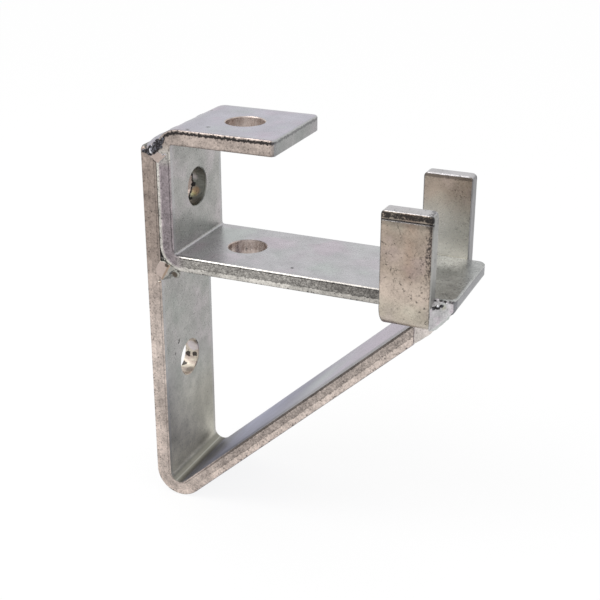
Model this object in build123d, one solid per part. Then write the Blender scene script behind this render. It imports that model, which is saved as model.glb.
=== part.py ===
from build123d import *
from math import atan2, cos, radians, sin, tan
import os

# A welded wall bracket of bent flat steel bar.
# X runs out from the wall, Y across the bars and Z up, in millimetres.
# The origin lies on the wall plane, midway between the two wall holes.

# Flat bar stock
bar_width = 40.0            # wall strap and C strap, across Y
bar_thickness = 6.0         # wall strap and C strap
cradle_bar_width = 18.4     # cradle, along X
cradle_bar_thickness = 6.0
edge_radius = 0.9           # rolled edges on the side a bar bends away from
inner_edge_bevel = 0.4      # bevelled edges on the side it bends round
end_corner_radius = 2.0     # corners of the wall strap's and the lug's ends, seen flat on
hole_rim = 0.35             # bevelled rim where a hole's punch went in

# Wall strap and its diagonal brace
wall_hole_spacing = 72.0    # between the two wall holes, along Z
wall_hole_diameter = 14.5
strap_above_hole = 19.7     # strap's top end above the upper wall hole
foot_below_hole = 65.0      # foot's sharp outer corner below the lower wall hole
foot_inner_radius = 3.8
foot_outer_radius = 10.2
prep_width = 4.9            # bevel on the strap's top end, across its thickness
prep_depth = 5.8            # the same bevel, down the strap
brace_seat = 1.2            # flat on the brace's end that bears on the cradle

# C strap: lug above, web against the wall strap, arm below
throat_height = 42.0        # clear height between arm and lug
lug_reach = 41.0            # lug's end from the web's front face
arm_reach = 107.3           # arm's tip from the web's front face
pin_offset = 20.5           # pin hole's axis from the web's front face
pin_hole_diameter = 14.5
bend_inner_radius = 1.0
bend_outer_radius = 9.5
tip_corner_radius = 3.0     # corners of the arm's tip, seen from above
tip_under_radius = 2.6      # lower edge of the arm's tip, melted round by the tip bead

# Cradle: a U whose tabs stand beside the arm
tab_height = 31.0           # tabs above the arm's top face
cradle_setback = 6.9        # cradle's front face behind the arm's tip
cradle_gap = 0.2            # between each tab and the arm's edge
cradle_inner_radius = 1.0
cradle_outer_radius = 8.0
tab_corner_radius = 1.8     # corners of the tabs' ends, seen from the side
shear_mark_drop = 3.3       # shear mark below the near tab's end
shear_mark_width = 0.8
shear_mark_depth = 0.35

# Weld beads
bead_inset = 0.1            # beads end short of the bars' rounded edges
bead_crown = 0.6            # how far a bead's face bulges
top_bead_angle = 45.0       # top bead's edge round the C's upper bend, in degrees
heel_bead_leg = 5.2         # heel bead down the wall strap, below the arm
heel_bead_run = 8.5         # heel bead out along the arm's underside
heel_bead_root = 4.0        # heel bead up into the groove, above the arm's underside

# How near an edge or a rim lies to the place it is picked by
pick_distance = 0.01

# Places worked out from the sizes above
upper_hole_z = wall_hole_spacing / 2
lower_hole_z = -wall_hole_spacing / 2
web_back = bar_thickness
web_front = web_back + bar_thickness
arm_top = upper_hole_z - throat_height / 2
arm_under = arm_top - bar_thickness
lug_under = arm_top + throat_height
lug_top = lug_under + bar_thickness
arm_tip = web_front + arm_reach
lug_end = web_front + lug_reach
pin_x = web_front + pin_offset
strap_top = upper_hole_z + strap_above_hole
foot_corner_z = lower_hole_z - foot_below_hole
cradle_front = arm_tip - cradle_setback
cradle_back = cradle_front - cradle_bar_width
cradle_under = arm_under - cradle_bar_thickness
tab_top = arm_top + tab_height
tab_inner_y = bar_width / 2 + cradle_gap
tab_outer_y = tab_inner_y + cradle_bar_thickness

# The brace's underside runs from the foot's outer corner to the arm's lower tip edge
brace_angle = atan2(arm_under - foot_corner_z, arm_tip)
brace_slope = tan(brace_angle)
brace_depth = bar_thickness / cos(brace_angle)


def brace_under(x):
    """Height of the brace's underside at x."""
    return foot_corner_z + brace_slope * x


def brace_top(x):
    """Height of the brace's upper face at x."""
    return brace_under(x) + brace_depth


seat_start = (cradle_under - brace_top(0)) / brace_slope
brace_end = seat_start + brace_seat


def rounded_outline(corners):
    """Closed outline through (x, z, radius) corners; a radius of 0 stays sharp."""
    sharp = Polygon(*[(x, z) for x, z, _ in corners], align=None)
    for x, z, radius in corners:
        if radius > 0:
            corner = sharp.vertices().sort_by_distance(Vector(x, z))[0]
            sharp = fillet(corner, radius)
    return sharp


def bent_bar(corners, plane, width):
    """Bar of the given width whose side view is the outline."""
    return extrude(plane * rounded_outline(corners), amount=width / 2, both=True)


def across(points):
    """Block across the bars whose side view is the outline through (x, z) points."""
    return extrude(Plane.XZ * Polygon(*points, align=None), amount=bar_width, both=True)


def sharp_edges(bar):
    """Edges where two faces meet squarely and not along a tangent line."""
    neighbours = {}
    for face in bar.faces():
        for edge in face.edges():
            neighbours.setdefault(edge, []).append(face)
    found = ShapeList()
    for edge, faces in neighbours.items():
        normals = [face.normal_at(edge.position_at(0.5)) for face in faces]
        if len(normals) == 2 and round(normals[0].dot(normals[1])) == 0:
            found.append(edge)
    return found


def ease_edges(bar, hollow):
    """Rolled outer edges, and bevelled ones round the hollow that the bar encloses."""
    def faces_hollow(edge):
        return hollow.is_inside(edge.position_at(0.5), pick_distance)

    outer = sharp_edges(bar).filter_by(lambda edge: not faces_hollow(edge))
    bar = fillet(outer, edge_radius)
    return chamfer(sharp_edges(bar).filter_by(faces_hollow), inner_edge_bevel)


def round_end(bar, thickness_axis, end_axis, end, radius):
    """Corners of a bar's end, rounded as seen flat on."""
    corners = bar.edges().filter_by(thickness_axis)
    corners = corners.filter_by_position(end_axis, end - pick_distance, end + pick_distance)
    return fillet(corners, radius)


def punch(bar, entry, direction, diameter):
    """Round hole from the entry point through one wall, bevelled where the punch went in."""
    tool = Plane(origin=entry, z_dir=direction) * Cylinder(diameter / 2, 3 * bar_thickness)
    bar = bar - tool
    rims = bar.edges().filter_by(GeomType.CIRCLE)
    rims = rims.filter_by(lambda rim: (rim.arc_center - Vector(*entry)).length < pick_distance)
    return chamfer(rims, hole_rim)


def make_wall_strap():
    """Wall strap with its bevelled top end, the foot bend and the brace."""
    past_end = brace_end + bar_width
    bar = bent_bar(
        [
            (0, strap_top, 0),
            (0, foot_corner_z, foot_outer_radius),
            (past_end, brace_under(past_end), 0),
            (past_end, brace_top(past_end), 0),
            (bar_thickness, brace_top(bar_thickness), foot_inner_radius),
            (bar_thickness, strap_top, 0),
        ],
        Plane.XZ,
        bar_width,
    )
    bar = round_end(bar, Axis.X, Axis.Z, strap_top, end_corner_radius)
    hollow = across(
        [(bar_thickness, brace_top(bar_thickness)), (past_end, brace_top(past_end)),
         (past_end, strap_top), (bar_thickness, strap_top)]
    )
    bar = ease_edges(bar, hollow)
    bar = bar - across(
        [(seat_start, cradle_under), (brace_end, cradle_under), (brace_end, foot_corner_z),
         (2 * past_end, foot_corner_z), (2 * past_end, strap_top), (seat_start, strap_top)]
    )
    bar = bar - across(
        [(bar_thickness, strap_top - prep_depth), (bar_thickness, strap_top),
         (bar_thickness - prep_width, strap_top)]
    )
    for z in (upper_hole_z, lower_hole_z):
        bar = punch(bar, (bar_thickness, 0, z), (-1, 0, 0), wall_hole_diameter)
    return bar


def tip_under_cutter():
    """What the rounding takes off the lower edge of the arm's tip."""
    middle = Pos(arm_tip - tip_under_radius, arm_under + tip_under_radius)
    corner = Polygon(
        (arm_tip - tip_under_radius, arm_under + tip_under_radius),
        (arm_tip - tip_under_radius, arm_under - bar_thickness),
        (arm_tip + bar_thickness, arm_under - bar_thickness),
        (arm_tip + bar_thickness, arm_under + tip_under_radius),
        align=None,
    )
    section = corner - middle * Circle(tip_under_radius)
    return extrude(Plane.XZ * section, amount=bar_width, both=True)


def make_c_strap():
    """Lug, web and arm, bent from one bar."""
    bar = bent_bar(
        [
            (lug_end, lug_under, 0),
            (web_front, lug_under, bend_inner_radius),
            (web_front, arm_top, bend_inner_radius),
            (arm_tip, arm_top, 0),
            (arm_tip, arm_under, 0),
            (web_back, arm_under, bend_outer_radius),
            (web_back, lug_top, bend_outer_radius),
            (lug_end, lug_top, 0),
        ],
        Plane.XZ,
        bar_width,
    )
    bar = round_end(bar, Axis.Z, Axis.X, arm_tip, tip_corner_radius)
    bar = round_end(bar, Axis.Z, Axis.X, lug_end, end_corner_radius)
    throat = across(
        [(web_front, arm_top), (arm_tip, arm_top), (arm_tip, lug_under), (web_front, lug_under)]
    )
    bar = ease_edges(bar, throat) - tip_under_cutter()
    for z in (arm_top, lug_top):
        bar = punch(bar, (pin_x, 0, z), (0, 0, -1), pin_hole_diameter)
    return punch(bar, (web_front, 0, upper_hole_z), (-1, 0, 0), wall_hole_diameter)


def make_cradle():
    """U of narrower bar: its base under the arm, its tabs beside it.

    The shear left a shallow mark across the near tab's outer face."""
    middle = (cradle_back + cradle_front) / 2
    bar = bent_bar(
        [
            (-tab_outer_y, tab_top, 0),
            (-tab_outer_y, cradle_under, cradle_outer_radius),
            (tab_outer_y, cradle_under, cradle_outer_radius),
            (tab_outer_y, tab_top, 0),
            (tab_inner_y, tab_top, 0),
            (tab_inner_y, arm_under, cradle_inner_radius),
            (-tab_inner_y, arm_under, cradle_inner_radius),
            (-tab_inner_y, tab_top, 0),
        ],
        Plane.YZ.offset(middle),
        cradle_bar_width,
    )
    bar = round_end(bar, Axis.Y, Axis.Z, tab_top, tab_corner_radius)
    space = Box(cradle_bar_width, 2 * tab_inner_y, tab_top - arm_under)
    bar = ease_edges(bar, Pos(middle, 0, (tab_top + arm_under) / 2) * space)
    mark_z = tab_top - shear_mark_drop
    mark = Polygon(
        (-tab_outer_y, mark_z - shear_mark_width / 2),
        (-tab_outer_y + shear_mark_depth, mark_z),
        (-tab_outer_y, mark_z + shear_mark_width / 2),
        align=None,
    )
    return bar - extrude(Plane.YZ.offset(middle) * mark, amount=cradle_bar_width, both=True)


def bead(points, crown, bars):
    """Weld bead across the bars, cut back to the bars it joins.

    Its side view has a face that bulges by crown from the first point to the second,
    and further points inside the bars."""
    face_start, face_end = points[:2]
    run = Vector(*face_end) - Vector(*face_start)
    outward = Vector(-run.Y, run.X).normalized()
    middle = Vector(*face_start) + run / 2 + outward * crown
    face_line = ThreePointArc(face_start, middle, face_end)
    back_line = Polyline(*points[1:], points[0])
    section = make_face(Wire([face_line] + back_line.edges()))
    half_length = bar_width / 2 - edge_radius - bead_inset
    solid = extrude(Plane.XZ * section, amount=half_length, both=True)
    for bar in bars:
        solid = solid - bar
    return solid


def make_top_weld(wall_strap, c_strap):
    """Bead in the V between the strap's bevel and the C's upper bend."""
    bend_x = web_back + bend_outer_radius
    bend_z = lug_top - bend_outer_radius
    reach = bend_outer_radius * cos(radians(top_bead_angle))
    rise = bend_outer_radius * sin(radians(top_bead_angle))
    points = [
        ((edge_radius + bar_thickness - prep_width) / 2, strap_top),
        (bend_x - reach, bend_z + rise),
        (web_back + bar_thickness / 2, bend_z),
        (web_back, strap_top - prep_depth),
    ]
    return bead(points, bead_crown, [wall_strap, c_strap])


def make_heel_weld(wall_strap, c_strap):
    """Bead between the C's lower bend and the strap's front face."""
    root_z = arm_under + heel_bead_root
    points = [
        (web_back + heel_bead_run, arm_under),
        (web_back, arm_under - heel_bead_leg),
        (web_back - bar_thickness / 2, arm_under - heel_bead_leg),
        (web_back - bar_thickness / 2, root_z),
        (web_back + bar_thickness / 2, root_z),
        (web_back + heel_bead_run, arm_under + bar_thickness / 2),
    ]
    return bead(points, bead_crown, [wall_strap, c_strap])


def make_brace_weld(wall_strap, cradle):
    """Bead between the brace's end and the cradle's underside."""
    cradle_middle = cradle_under + cradle_bar_thickness / 2
    points = [
        (cradle_front, cradle_under),
        (brace_end, brace_under(brace_end)),
        (seat_start, cradle_under),
        (seat_start, cradle_middle),
        (cradle_front, cradle_middle),
    ]
    return bead(points, bead_crown, [wall_strap, cradle])


def make_tip_weld(c_strap, cradle, brace_weld):
    """Bead in front of the cradle, under the arm's overhang."""
    inside = cradle_bar_thickness / 2
    points = [
        (arm_tip - tip_under_radius, arm_under),
        (cradle_front, cradle_under),
        (cradle_front - inside, cradle_under + inside),
        (cradle_front - inside, arm_under + inside),
        (arm_tip - tip_under_radius, arm_under + inside),
    ]
    return bead(points, bead_crown, [c_strap, cradle, brace_weld])


if __name__ == "__main__":
    wall_strap = make_wall_strap()
    c_strap = make_c_strap()
    cradle = make_cradle()
    brace_weld = make_brace_weld(wall_strap, cradle)
    nodes = {
        "wall_strap": wall_strap,
        "c_strap": c_strap,
        "cradle": cradle,
        "top_weld": make_top_weld(wall_strap, c_strap),
        "heel_weld": make_heel_weld(wall_strap, c_strap),
        "brace_weld": brace_weld,
        "tip_weld": make_tip_weld(c_strap, cradle, brace_weld),
    }
    os.makedirs("parts", exist_ok=True)
    for name, shape in nodes.items():
        export_step(shape, f"parts/{name}.step")
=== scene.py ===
from math import atan2, cos, pi, radians, sin

import bmesh
import bpy
from bpy.props import FloatProperty, FloatVectorProperty, IntProperty, PointerProperty
from mathutils import Matrix, Vector, noise


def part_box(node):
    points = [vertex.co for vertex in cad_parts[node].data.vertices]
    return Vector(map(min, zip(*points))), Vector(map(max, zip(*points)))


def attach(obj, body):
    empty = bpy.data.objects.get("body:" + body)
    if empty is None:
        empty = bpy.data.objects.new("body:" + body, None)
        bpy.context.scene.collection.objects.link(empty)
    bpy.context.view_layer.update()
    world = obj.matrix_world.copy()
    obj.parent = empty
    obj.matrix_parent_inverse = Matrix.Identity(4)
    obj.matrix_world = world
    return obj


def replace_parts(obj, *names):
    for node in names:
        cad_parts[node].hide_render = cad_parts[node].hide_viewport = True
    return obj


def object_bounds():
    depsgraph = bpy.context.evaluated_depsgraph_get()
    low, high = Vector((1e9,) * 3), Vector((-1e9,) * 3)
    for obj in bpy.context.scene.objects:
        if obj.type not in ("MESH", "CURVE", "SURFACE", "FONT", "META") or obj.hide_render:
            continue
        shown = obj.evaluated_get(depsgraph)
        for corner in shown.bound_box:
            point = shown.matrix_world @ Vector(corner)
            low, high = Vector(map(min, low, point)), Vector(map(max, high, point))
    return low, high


bl_info = {
    "name": "Welded Wall Bracket",
    "version": (1, 0, 0),
    "blender": (4, 5, 0),
    "location": "View3D > Sidebar > Bracket",
    "description": "Dresses a welded wall bracket: zinc plate, weld beads and a studio",
    "category": "Object",
}

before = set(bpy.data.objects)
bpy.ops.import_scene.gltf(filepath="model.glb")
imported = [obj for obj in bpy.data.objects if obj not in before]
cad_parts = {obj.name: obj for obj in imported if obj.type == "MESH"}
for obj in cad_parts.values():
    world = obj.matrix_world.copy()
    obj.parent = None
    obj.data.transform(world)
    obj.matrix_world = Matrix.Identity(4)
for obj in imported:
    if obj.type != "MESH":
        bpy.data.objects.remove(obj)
cad_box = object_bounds()

MM = 0.001

# The bars, read from the frame, in millimetres
C_LOW, C_HIGH = (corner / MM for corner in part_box("c_strap"))
CRADLE_LOW, CRADLE_HIGH = (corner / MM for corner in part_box("cradle"))
STRAP_LOW, STRAP_HIGH = (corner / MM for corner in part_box("wall_strap"))
BAR_HALF_WIDTH = C_HIGH.y
NEAR_SIDE = -BAR_HALF_WIDTH
BAR_THICKNESS = C_LOW.x - STRAP_LOW.x
WEB_BACK = C_LOW.x
WEB_FRONT = WEB_BACK + BAR_THICKNESS
ARM_UNDER = C_LOW.z
ARM_TOP = ARM_UNDER + BAR_THICKNESS
LUG_TOP = C_HIGH.z
LUG_UNDER = LUG_TOP - BAR_THICKNESS
ARM_TIP = C_HIGH.x
UPPER_HOLE = (ARM_UNDER + LUG_TOP) / 2
LOWER_HOLE = -UPPER_HOLE
STRAP_TOP = STRAP_HIGH.z

# Bends and holes that a box doesn't give, in millimetres
C_BEND_RADIUS = 9.5
FOOT_BEND_RADIUS = 10.2
FOOT_CORNER = -101.0
STRAP_BEVEL_DEPTH = 5.8
LUG_END = WEB_FRONT + 41.0
PIN_HOLE = WEB_FRONT + 20.5
HOLE_RADIUS = 7.25
BRACE_ANGLE = atan2(ARM_UNDER - FOOT_CORNER, ARM_TIP)

# Keeps X and Z of a place; a band that starts AT_EDGE has no inner limit
SIDE_VIEW = (1, 0, 1)
AT_EDGE = -1.0

# What the coats share, in millimetres: a hole's rim, grains of torn steel, and heights of the bump
HOLE_RIM = 0.28
TORN_SIZE = 0.55
PITTED_SIZE = 0.4
CRACK_WIDTH = 0.22
PLATE_BUMP = 0.12
WELD_BUMP = 0.15

# Beads: steps along one and over its face, then lengths and depths in millimetres
BEAD_ROWS = 90
BEAD_FACE_STEPS = 12
BEAD_END = 4.0
BEAD_WOBBLE = 0.12
BEAD_TREMBLE = 0.06
SLAG_LUMPINESS = 0.22
PORE_DEPTH = 0.45
CAPSULE_STEP = 0.6
TIP_SWELLINGS = 10
TIP_SWELLING_SPACING = 3.8
# Where a mark of slag or a pore ends, as a multiple of its radius
MARK_REACH = 1.6

# Studio: the lamp in metres, the camera in millimetres and degrees
WHITE = (1.0, 1.0, 1.0, 1.0)
FLOOR_GLOW = 0.86
LAMP_DIRECTION = (-0.37, -0.39, 0.85)
LAMP_DISTANCE = 0.8
LAMP_SIZE = 0.42
CAMERA_PLACE = (216.361, -375.746, 170.693)
CAMERA_DOWN = 23.029
CAMERA_TURN = 23.376

# Single marks of the plate, in millimetres: centre, radius and, unless it is a stain, the colour's name
LEVEL_SPOTS = (
    ((23.9, -12.4, LUG_TOP), 0.7), ((18.7, -18.2, LUG_TOP), 0.7), ((13.5, 10.0, LUG_TOP), 0.7),
    ((56.8, -13.7, ARM_TOP), 0.7),
)
LUG_BEND_SPOTS = (((9.4, 18.6, 60.2), 1.0),)
LUG_CORNER_SPOTS = (((LUG_END, NEAR_SIDE, LUG_TOP - 1.4), 0.7),)
# The web hole's pale patch at the top is a painted highlight
WEB_HOLE_PATCHES = (
    ((7.9, 5.9, 32.0), 1.7, "bore_rust"), ((7.3, 5.0, 30.9), 1.1, "bore_olive"),
    ((7.2, 7.1, 37.3), 1.1, "bore_pale_and_highlight"),
)
WEB_HOLE_SPOTS = (((6.5, 7.0, 34.2), 0.9), ((7.0, 3.3, 29.6), 0.7))
STRAP_HOLE_PATCHES = (
    ((3.6, 7.1, -34.4), 2.4, "bore_pale_and_highlight"), ((5.8, 6.2, -32.2), 1.3, "bore_dull"),
    ((4.5, 2.0, -43.0), 1.6, "bore_dull"),
)
STRAP_SPOTS = (
    ((1.3, 6.8, -38.4), 1.25), ((4.4, 6.9, -38.1), 1.0), ((0.8, 4.3, -41.9), 1.1),
    ((6.0, -8.1, -25.3), 0.5), ((6.0, -8.8, -26.2), 0.4), ((6.0, -11.6, -29.7), 0.35),
)
TAB_SPOTS = tuple(
    ((x, -CRADLE_HIGH.y, z), 0.3)
    for x, z in ((108.9, 11.8), (107.6, 15.1), (110.5, 13.1), (109.2, 18.8))
)

# Lumps of slag and pores of the beads, in millimetres: x, depth in from the near side, z and radius
TOP_SLAG = (
    (1.6, 0.1, 53.8, 0.8), (2.8, 0.0, 53.8, 0.9), (4.2, -0.1, 53.5, 1.0), (5.4, -0.2, 54.5, 1.3),
    (4.2, 0.2, 55.2, 0.8), (6.9, -0.2, 55.6, 1.3), (5.9, 0.3, 56.6, 0.8), (8.0, -0.1, 56.9, 1.1),
    (7.2, 0.3, 58.0, 0.8), (8.9, 0.0, 58.0, 1.0), (9.6, 0.1, 59.0, 0.8), (8.9, 0.2, 55.9, 0.6),
)
TIP_SLAG = (
    (113.3, -4.6, 13.3, 0.6), (114.4, -3.8, 13.6, 0.8), (115.5, -2.9, 13.9, 0.6),
    (112.6, -1.0, 14.2, 0.5), (116.0, -0.4, 13.8, 0.5), (117.2, -0.3, 13.9, 0.5),
)
HEEL_PORES = (
    (8.9, -0.3, 10.9, 0.75), (11.2, 1.1, 6.9, 1.2), (12.9, 1.8, 9.0, 0.8),
    (4.4, -0.4, 5.5, 0.9), (5.4, -0.5, 5.0, 0.8), (7.2, 0.0, 13.4, 0.9),
)
# Corners of the filled ends of two beads: x, depth in from the near side and z
HEEL_END = (
    (6.2, -0.3, 12.6), (8.2, -0.3, 12.2), (10.5, -0.4, 11.0), (6.8, -0.5, 4.8), (4.6, -0.3, 5.8),
    (4.0, -0.2, 9.0), (12.6, 2.2, 9.3), (8.6, 2.8, 4.4), (13.6, 4.0, 9.3), (5.0, 4.0, 5.0),
    (5.0, 4.0, 12.0),
)
TIP_END = (
    (112.0, -5.9, 5.0), (112.0, -5.9, 13.0), (113.0, -5.2, 6.0), (113.0, -5.0, 12.4),
    (112.0, -0.4, 2.8), (113.3, -0.5, 3.6), (117.4, -0.5, 9.0), (119.0, -0.4, 11.4),
    (118.9, -0.4, 14.0), (112.0, -1.2, 14.6), (112.0, 1.0, 3.2), (117.6, 1.0, 9.6),
    (117.6, 1.0, 13.5), (112.0, 1.0, 14.2),
)


def swatch(name, description, red, green, blue):
    """Colour property whose default is written as 0 to 255 values."""
    def linear(value):
        share = value / 255
        return share / 12.92 if share <= 0.04045 else ((share + 0.055) / 1.055) ** 2.4
    return FloatVectorProperty(
        name=name, description=description, subtype="COLOR", size=3, min=0, max=1,
        default=(linear(red), linear(green), linear(blue)),
    )


def length(name, description, millimetres):
    return FloatProperty(
        name=name, description=description, subtype="DISTANCE", unit="LENGTH", min=0,
        default=millimetres * MM,
    )


class ZincSettings(bpy.types.PropertyGroup):
    """Colours and sizes of the zinc plate on the three bars."""

    # The level and upright plates are a lit and a shaded copy: besides its own tint, the level one is
    # paler with painted light on faces turned up
    level: swatch("Level faces", "Plate on the arm's top", 178, 177, 180)
    lug: swatch("Lug", "Lavender plate on the lug's top", 167, 165, 176)
    upright: swatch("Upright faces", "Plate on the web and the wall strap", 160, 159, 156)
    brace: swatch("Brace", "Lavender plate on the brace's top", 121, 119, 137)
    brace_low: swatch("Brace by the foot", "Bluish plate low on the brace", 160, 161, 181)
    between: swatch("Arm in the cradle", "Mottled plate between the tabs", 158, 160, 158)
    # Painted light: the arm's top beside the far tab, paler where shade would fall in the inner corner
    painted_seat_light: swatch("Arm by the far tab", "Paler plate beside the far tab", 232, 234, 232)
    arm_end: swatch("Arm's end", "Greyer cut end of the arm", 117, 118, 123)
    foot: swatch("Foot", "Olive tint of the plate by the foot", 190, 187, 175)
    # Painted light: paler plate on the foot's near half, against the shade of its inner corner
    foot_near_painted_light: swatch("Foot's near half", "Paler plate on the foot's near half", 228, 225, 212)
    # Painted shade in the middle of the foot's inner bend
    painted_fold_shade: swatch("Fold", "Plate in the foot's inner bend", 140, 138, 128)
    # Painted shade beside the foot's crease, on the brace's side
    foot_shade: swatch("Foot crease", "Dark plate beside the foot's crease", 104, 101, 98)
    # Painted highlight: pale plate laid where rolled edges and glints would catch the light
    painted_highlight: swatch("Rolled edge", "Pale plate on rolled edges and glints", 206, 207, 205)
    sheared: swatch("Sheared edge", "Pinkish smooth band of a sheared edge", 190, 176, 167)
    arm_edge: swatch("Arm's edge", "Pale smooth band of the arm", 210, 206, 199)
    arm_edge_far: swatch("Arm's edge at its tip", "Greyer band near the tip", 172, 168, 162)
    strap_edge: swatch("Strap's edge", "Pinkish sheared edge of the wall strap", 212, 198, 189)
    speckled: swatch("Wall edge", "Darker sheared edge of the wall strap", 162, 148, 139)
    web_edge: swatch("Web's edge", "Purplish sheared edge of the web", 168, 157, 161)
    torn: swatch("Torn band", "Dark grain of a sheared edge", 62, 58, 57)
    cradle: swatch("Cradle faces", "Warm plate on the cradle's tabs", 166, 152, 139)
    cradle_low: swatch("Tabs' lower part", "Paler warm plate above the bends", 194, 179, 166)
    cradle_bend: swatch("Cradle bends", "Cream plate on the cradle's bends", 184, 174, 160)
    cradle_streak: swatch("Tab streak", "Pinkish worn streak on a tab", 166, 138, 120)
    # Painted reflection: bright plate low on a tab's inner face, and the thin bright line along the
    # foot's crease
    painted_reflection: swatch("Tab's foot", "Bright plate low on a tab's inner face", 210, 210, 203)
    tab_side: swatch("Far tab's side", "Greyer cut side of the far tab", 138, 137, 139)
    # Also the colour of painted shade and shadow where a coat is darkened
    stain_and_shade: swatch("Stain", "Dark specks, lines and pores", 38, 35, 36)
    bore: swatch("Hole wall", "Pinkish wall of the punched holes", 206, 193, 186)
    bore_streak: swatch("Hole streaks", "Streaks on the holes' walls", 178, 162, 154)
    web_bore: swatch("Web's hole", "Greenish wall of the web's hole", 132, 134, 127)
    bore_dull: swatch("Dull bore", "Grey-brown wall behind the seam", 140, 132, 124)
    # Pale patch in a hole; in the web's hole it is a painted highlight
    bore_pale_and_highlight: swatch("Pale bore", "Lavender patch in a hole", 214, 208, 214)
    bore_rust: swatch("Warm bore", "Orange-brown patch in a hole", 186, 146, 108)
    bore_olive: swatch("Olive bore", "Yellow-green patch in a hole", 158, 156, 104)
    strap_bore: swatch("Strap's hole", "Warm wall of the wall strap's holes", 210, 202, 186)
    tint_rose: swatch("Rose tint", "Interference colour of the plate", 196, 168, 188)
    tint_green: swatch("Green tint", "Interference colour of the plate", 158, 178, 164)
    roughness: FloatProperty(
        name="Roughness", description="Satin finish of the plate", min=0, max=1, default=0.3
    )
    metallic: FloatProperty(
        name="Metallic", description="Metallic share of the plate", min=0, max=1, default=0.85
    )
    cloud_size: length("Cloud size", "Size of the plate's soft clouds", 7.0)
    grain_size: length("Grain size", "Size of the plate's fine grain", 0.7)
    speck_spacing: length("Speck spacing", "Distance between dark specks", 3.2)


class WeldSettings(bpy.types.PropertyGroup):
    """Form and colours of the weld beads."""

    crown: length("Crown", "How far a bead's face bulges", 0.6)
    ripple_pitch: length("Ripple pitch", "Distance between a bead's ripples", 1.7)
    ripple_height: length("Ripple height", "Height of a bead's ripples", 0.16)
    voxel: length("Voxel", "Grid on which a bead's shells are fused", 0.22)
    smoothing: IntProperty(
        name="Smoothing", description="Passes that melt the fused shells", min=0, default=3
    )
    metal: swatch("Weld metal", "Smooth plated weld", 188, 186, 187)
    warm: swatch("Warm weld", "Pinkish ends of a bead", 184, 169, 161)
    wall_metal: swatch("Weld by the wall", "Greenish plated weld", 170, 169, 162)
    slag: swatch("Slag", "Glossy dark slag at a bead's end", 96, 96, 103)
    slope: swatch("Top weld's face", "Lavender face of the top weld", 160, 158, 167)
    cream: swatch("Brace weld's end", "Cream end of the brace's bead", 208, 199, 192)
    # Painted glint: bright plate where the slag would catch the light
    painted_glint: swatch("Glint", "Bright streak on the slag", 236, 236, 240)
    # Painted shade along the left side of the heel weld's ridge
    seam: swatch("Ridge line", "Brown line along the heel weld's ridge", 150, 128, 106)
    pore: swatch("Pore", "Brown pores and craters", 74, 62, 52)


class StudioSettings(bpy.types.PropertyGroup):
    """Floor, lamp and camera."""

    floor_size: FloatProperty(
        name="Floor size", description="Side of the floor", unit="LENGTH", default=12.0
    )
    floor_colour: swatch("Floor colour", "Pale floor", 246, 246, 246)
    top_power: FloatProperty(
        name="Top lamp", description="Power of the lamp above", subtype="POWER", default=2.0
    )
    sky: FloatProperty(
        name="Sky", description="Level of the white surroundings", min=0, default=1.0
    )
    lens: FloatProperty(
        name="Lens", description="Focal length", subtype="DISTANCE_CAMERA", default=71.0886
    )


def opaque(colour):
    """A colour socket as it is, or three numbers with a full alpha."""
    return colour if isinstance(colour, bpy.types.NodeSocket) else (*colour[:3], 1.0)


class Graph:
    """Adds shader nodes to a tree. An input is a socket or a plain value."""

    def __init__(self, tree):
        self.tree = tree

    def feed(self, socket, value):
        if isinstance(value, bpy.types.NodeSocket):
            self.tree.links.new(value, socket)
        else:
            socket.default_value = value

    def node(self, kind, inputs, output=0, **settings):
        made = self.tree.nodes.new(kind)
        for name, value in settings.items():
            setattr(made, name, value)
        for key, value in inputs.items():
            self.feed(made.inputs[key], value)
        return made.outputs[output]

    def math(self, operation, *values, clamp=False):
        return self.node("ShaderNodeMath", dict(enumerate(values)), operation=operation, use_clamp=clamp)

    def times(self, product, *others):
        for other in others:
            product = self.math("MULTIPLY", product, other)
        return product

    def ramp(self, value, slope, start):
        """The value times the slope, plus the start."""
        return self.math("MULTIPLY_ADD", value, slope, start)

    def flip(self, share):
        """1 where the share is 0, and 0 where it is 1."""
        return self.math("SUBTRACT", 1.0, share)

    def vector(self, operation, *values):
        output = "Value" if operation in {"DOT_PRODUCT", "LENGTH"} else "Vector"
        return self.node("ShaderNodeVectorMath", dict(enumerate(values)), output, operation=operation)

    def scale(self, vector, factor):
        return self.node("ShaderNodeVectorMath", {0: vector, "Scale": factor}, operation="SCALE")

    def split(self, value, kind="ShaderNodeSeparateXYZ"):
        return self.node(kind, {0: value}).node.outputs[:3]

    def step(self, value, low, high):
        """Smooth step from 0 at low to 1 at high."""
        return self.node(
            "ShaderNodeMapRange", {"Value": value, "From Min": low, "From Max": high},
            interpolation_type="SMOOTHSTEP",
        )

    def blend(self, share, first, second):
        return self.node("ShaderNodeMix", {0: share, 2: first, 3: second}, data_type="FLOAT")

    def tint(self, share, first, second):
        return self.node(
            "ShaderNodeMix", {0: share, 6: opaque(first), 7: opaque(second)}, 2, data_type="RGBA",
        )

    def clouds(self, place, scale, detail=3.0, rough=0.55):
        return self.node(
            "ShaderNodeTexNoise",
            {"Vector": place, "Scale": scale, "Detail": detail, "Roughness": rough},
        )

    def group(self, name, inputs):
        made = self.tree.nodes.new("ShaderNodeGroup")
        made.node_tree = bpy.data.node_groups[name]
        for key, value in inputs.items():
            self.feed(made.inputs[key], opaque(value) if "Colour" in key else value)
        return made.outputs[0]


def new_group(name, inputs, outputs):
    """Empty shader node group: its graph, its inputs in order and its outputs by name."""
    tree = bpy.data.node_groups.new(name, "ShaderNodeTree")
    for in_out, sockets in (("INPUT", inputs), ("OUTPUT", outputs)):
        for socket_name, kind in sockets.items():
            tree.interface.new_socket(name=socket_name, in_out=in_out, socket_type="NodeSocket" + kind)
    given = tree.nodes.new("NodeGroupInput").outputs
    result = tree.nodes.new("NodeGroupOutput").inputs
    return Graph(tree), [given[socket_name] for socket_name in inputs], result


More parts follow.
